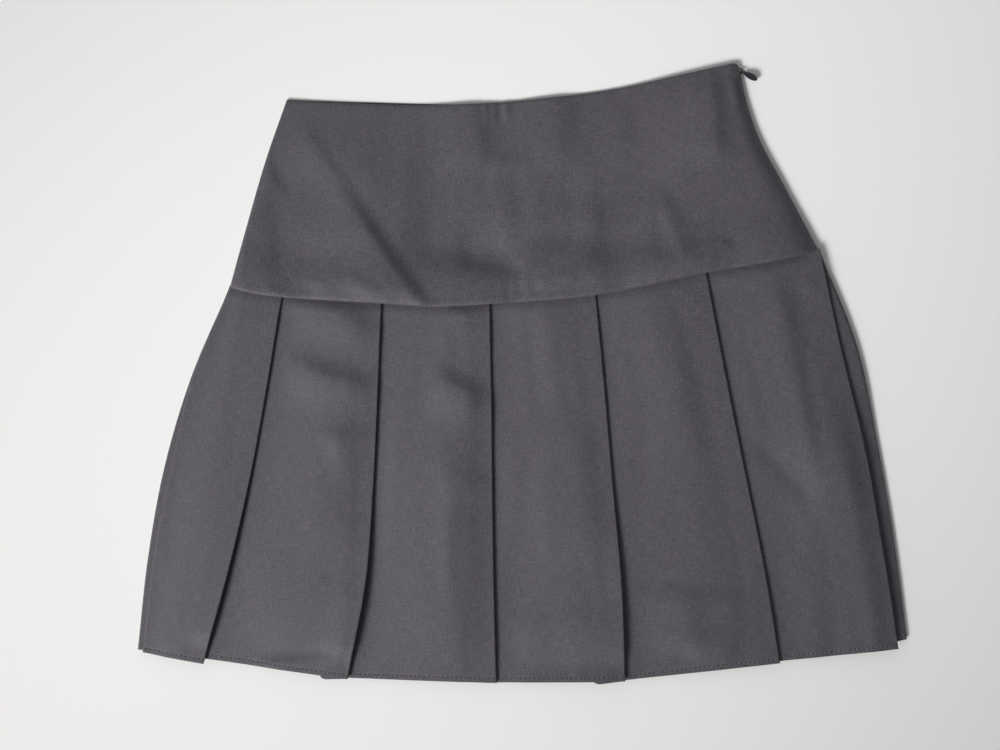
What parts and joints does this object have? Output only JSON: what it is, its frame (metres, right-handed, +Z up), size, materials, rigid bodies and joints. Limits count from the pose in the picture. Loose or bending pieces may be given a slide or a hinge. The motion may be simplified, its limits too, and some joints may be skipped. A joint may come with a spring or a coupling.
{
  "type": "pleated mini skirt laid flat",
  "caption": "Pleated mini skirt in charcoal cloth, laid flat with its front up, with a smooth hip yoke, knife pleats below a curved seam and a concealed side zip with a drop-shaped pull.",
  "frame": {"origin": "centre of the footprint's box, on the surface that the skirt lies on", "axes": "+X to the right across the laid front, +Y towards the waist, +Z up out of the front"},
  "size_m": [0.5616, 0.4535, 0.0115],
  "materials": {
    "charcoal_cloth": "smooth fine twill suiting with a soft low sheen",
    "zip_webbing": "matte woven tape and nylon coil",
    "zip_lacquer": "semi-gloss dark lacquer"
  },
  "bodies": {
    "skirt": {"front_yoke": "charcoal_cloth", "back_yoke": "charcoal_cloth", "front_pleats": "charcoal_cloth", "back_pleats": "charcoal_cloth", "zip_tapes": "zip_webbing", "zip_chain": "zip_webbing", "zip_slider": "zip_lacquer"},
    "zip_pull": {"zip_pull": "zip_lacquer"}
  },
  "joints": [
    {"name": "zip_pull_swing", "type": "hinge", "parent": "skirt", "child": "zip_pull", "pos_m": [0.1596, 0.22131, 0.00255], "axis": [0, 0, 1], "range_deg": [-40, 120]}
  ]
}
